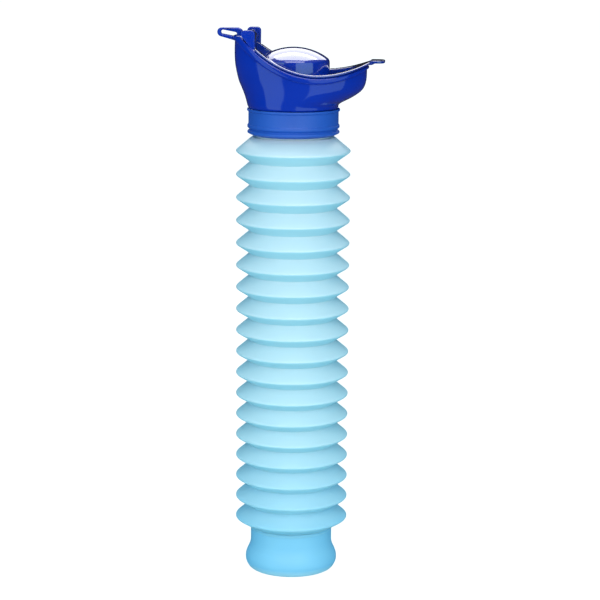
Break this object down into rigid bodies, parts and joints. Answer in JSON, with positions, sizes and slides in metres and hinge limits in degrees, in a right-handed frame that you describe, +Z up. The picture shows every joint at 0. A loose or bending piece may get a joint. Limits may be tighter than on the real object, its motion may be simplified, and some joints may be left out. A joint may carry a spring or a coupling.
{
  "type": "urine bottle",
  "caption": "Collapsible hand-held urine bottle: translucent bellows bottle, glossy blue saddle-rimmed funnel on a screw collar, hinged dished lid with a domed sealing cap, hanging eye.",
  "frame": {"origin": "centre of the flat resting face under the base", "axes": "+Z up the bottle through the neck, -X towards the lid's hinge and the hanging eye, +X towards the finger tab"},
  "size_m": [0.0996, 0.0692, 0.3316],
  "materials": {
    "bottle": "blow-moulded translucent soft polyethylene, pale sky blue",
    "collar": "fine matt moulded plastic, medium blue",
    "funnel": "high gloss moulded polypropylene, royal blue",
    "lid": "high gloss moulded polypropylene, royal blue",
    "cap": "high gloss moulded polypropylene, royal blue",
    "pin": "smooth moulded plastic, royal blue",
    "silicone": "soft translucent silicone"
  },
  "bodies": {
    "base": {"base_floor": "bottle", "base_heel": "bottle", "base_wall": "bottle"},
    "neck": {"bottle_neck": "bottle", "bellows_ring_01": "bottle", "bellows_web_01": "bottle"},
    "funnel": {"funnel": "funnel", "hinge_pin": "pin", "neck_gasket": "silicone"},
    "collar": {"screw_collar": "collar"},
    "lid": {"lid": "lid", "sealing_cap": "cap", "cap_seal": "silicone"},
    "fold_02": {"bellows_ring_02": "bottle", "bellows_web_02": "bottle"},
    "fold_03": {"bellows_ring_03": "bottle", "bellows_web_03": "bottle"},
    "fold_04": {"bellows_ring_04": "bottle", "bellows_web_04": "bottle"},
    "fold_05": {"bellows_ring_05": "bottle", "bellows_web_05": "bottle"},
    "fold_06": {"bellows_ring_06": "bottle", "bellows_web_06": "bottle"},
    "fold_07": {"bellows_ring_07": "bottle", "bellows_web_07": "bottle"},
    "fold_08": {"bellows_ring_08": "bottle", "bellows_web_08": "bottle"},
    "fold_09": {"bellows_ring_09": "bottle", "bellows_web_09": "bottle"},
    "fold_10": {"bellows_ring_10": "bottle", "bellows_web_10": "bottle"},
    "fold_11": {"bellows_ring_11": "bottle", "bellows_web_11": "bottle"},
    "fold_12": {"bellows_ring_12": "bottle", "bellows_web_12": "bottle"},
    "fold_13": {"bellows_ring_13": "bottle", "bellows_web_13": "bottle"},
    "fold_14": {"bellows_ring_14": "bottle", "bellows_web_14": "bottle"},
    "fold_15": {"bellows_ring_15": "bottle", "bellows_web_15": "bottle"},
    "fold_16": {"bellows_ring_16": "bottle", "bellows_web_16": "bottle"},
    "fold_17": {"bellows_ring_17": "bottle", "bellows_web_17": "bottle"},
    "fold_18": {"bellows_ring_18": "bottle", "bellows_web_18": "bottle"}
  },
  "joints": [
    {"name": "collapse", "type": "slide", "parent": "base", "child": "neck", "axis": [0, 0, -1], "range_m": [0, 0.168], "deforming": ["bellows_web_01"]},
    {"name": "fold_02_slide", "type": "slide", "parent": "base", "child": "fold_02", "axis": [0, 0, -1], "range_m": [0, 0.15917], "deforming": ["bellows_web_02"]},
    {"name": "fold_03_slide", "type": "slide", "parent": "base", "child": "fold_03", "axis": [0, 0, -1], "range_m": [0, 0.14983], "deforming": ["bellows_web_03"]},
    {"name": "fold_04_slide", "type": "slide", "parent": "base", "child": "fold_04", "axis": [0, 0, -1], "range_m": [0, 0.1405], "deforming": ["bellows_web_04"]},
    {"name": "fold_05_slide", "type": "slide", "parent": "base", "child": "fold_05", "axis": [0, 0, -1], "range_m": [0, 0.13117], "deforming": ["bellows_web_05"]},
    {"name": "fold_06_slide", "type": "slide", "parent": "base", "child": "fold_06", "axis": [0, 0, -1], "range_m": [0, 0.12183], "deforming": ["bellows_web_06"]},
    {"name": "fold_07_slide", "type": "slide", "parent": "base", "child": "fold_07", "axis": [0, 0, -1], "range_m": [0, 0.1125], "deforming": ["bellows_web_07"]},
    {"name": "fold_08_slide", "type": "slide", "parent": "base", "child": "fold_08", "axis": [0, 0, -1], "range_m": [0, 0.10317], "deforming": ["bellows_web_08"]},
    {"name": "fold_09_slide", "type": "slide", "parent": "base", "child": "fold_09", "axis": [0, 0, -1], "range_m": [0, 0.09383], "deforming": ["bellows_web_09"]},
    {"name": "fold_10_slide", "type": "slide", "parent": "base", "child": "fold_10", "axis": [0, 0, -1], "range_m": [0, 0.0845], "deforming": ["bellows_web_10"]},
    {"name": "fold_11_slide", "type": "slide", "parent": "base", "child": "fold_11", "axis": [0, 0, -1], "range_m": [0, 0.07517], "deforming": ["bellows_web_11"]},
    {"name": "fold_12_slide", "type": "slide", "parent": "base", "child": "fold_12", "axis": [0, 0, -1], "range_m": [0, 0.06583], "deforming": ["bellows_web_12"]},
    {"name": "fold_13_slide", "type": "slide", "parent": "base", "child": "fold_13", "axis": [0, 0, -1], "range_m": [0, 0.0565], "deforming": ["bellows_web_13"]},
    {"name": "fold_14_slide", "type": "slide", "parent": "base", "child": "fold_14", "axis": [0, 0, -1], "range_m": [0, 0.04717], "deforming": ["bellows_web_14"]},
    {"name": "fold_15_slide", "type": "slide", "parent": "base", "child": "fold_15", "axis": [0, 0, -1], "range_m": [0, 0.03783], "deforming": ["bellows_web_15"]},
    {"name": "fold_16_slide", "type": "slide", "parent": "base", "child": "fold_16", "axis": [0, 0, -1], "range_m": [0, 0.0285], "deforming": ["bellows_web_16"]},
    {"name": "fold_17_slide", "type": "slide", "parent": "base", "child": "fold_17", "axis": [0, 0, -1], "range_m": [0, 0.01917], "deforming": ["bellows_web_17"]},
    {"name": "fold_18_slide", "type": "slide", "parent": "base", "child": "fold_18", "axis": [0, 0, -1], "range_m": [0, 0.00983], "deforming": ["bellows_web_18"]},
    {"name": "head_lift", "type": "slide", "parent": "neck", "child": "funnel", "axis": [0, 0, 1], "range_m": [0, 0.006]},
    {"name": "collar_turn", "type": "hinge", "parent": "funnel", "child": "collar", "pos_m": [0, 0, 0.2759], "axis": [0, 0, 1], "range_deg": [0, 541]},
    {"name": "lid_hinge", "type": "hinge", "parent": "funnel", "child": "lid", "pos_m": [-0.0255, 0, 0.327], "axis": [0, -1, 0], "range_deg": [0, 125]}
  ],
  "couplings": [
    {"joint": "fold_02_slide", "follows": "collapse", "ratio": 0.94444},
    {"joint": "fold_03_slide", "follows": "collapse", "ratio": 0.88889},
    {"joint": "fold_04_slide", "follows": "collapse", "ratio": 0.83333},
    {"joint": "fold_05_slide", "follows": "collapse", "ratio": 0.77778},
    {"joint": "fold_06_slide", "follows": "collapse", "ratio": 0.72222},
    {"joint": "fold_07_slide", "follows": "collapse", "ratio": 0.66667},
    {"joint": "fold_08_slide", "follows": "collapse", "ratio": 0.61111},
    {"joint": "fold_09_slide", "follows": "collapse", "ratio": 0.55556},
    {"joint": "fold_10_slide", "follows": "collapse", "ratio": 0.5},
    {"joint": "fold_11_slide", "follows": "collapse", "ratio": 0.44444},
    {"joint": "fold_12_slide", "follows": "collapse", "ratio": 0.38889},
    {"joint": "fold_13_slide", "follows": "collapse", "ratio": 0.33333},
    {"joint": "fold_14_slide", "follows": "collapse", "ratio": 0.27778},
    {"joint": "fold_15_slide", "follows": "collapse", "ratio": 0.22222},
    {"joint": "fold_16_slide", "follows": "collapse", "ratio": 0.16667},
    {"joint": "fold_17_slide", "follows": "collapse", "ratio": 0.11111},
    {"joint": "fold_18_slide", "follows": "collapse", "ratio": 0.055556},
    {"joint": "collar_turn", "follows": "head_lift", "rad_per_m": 1570.8}
  ]
}
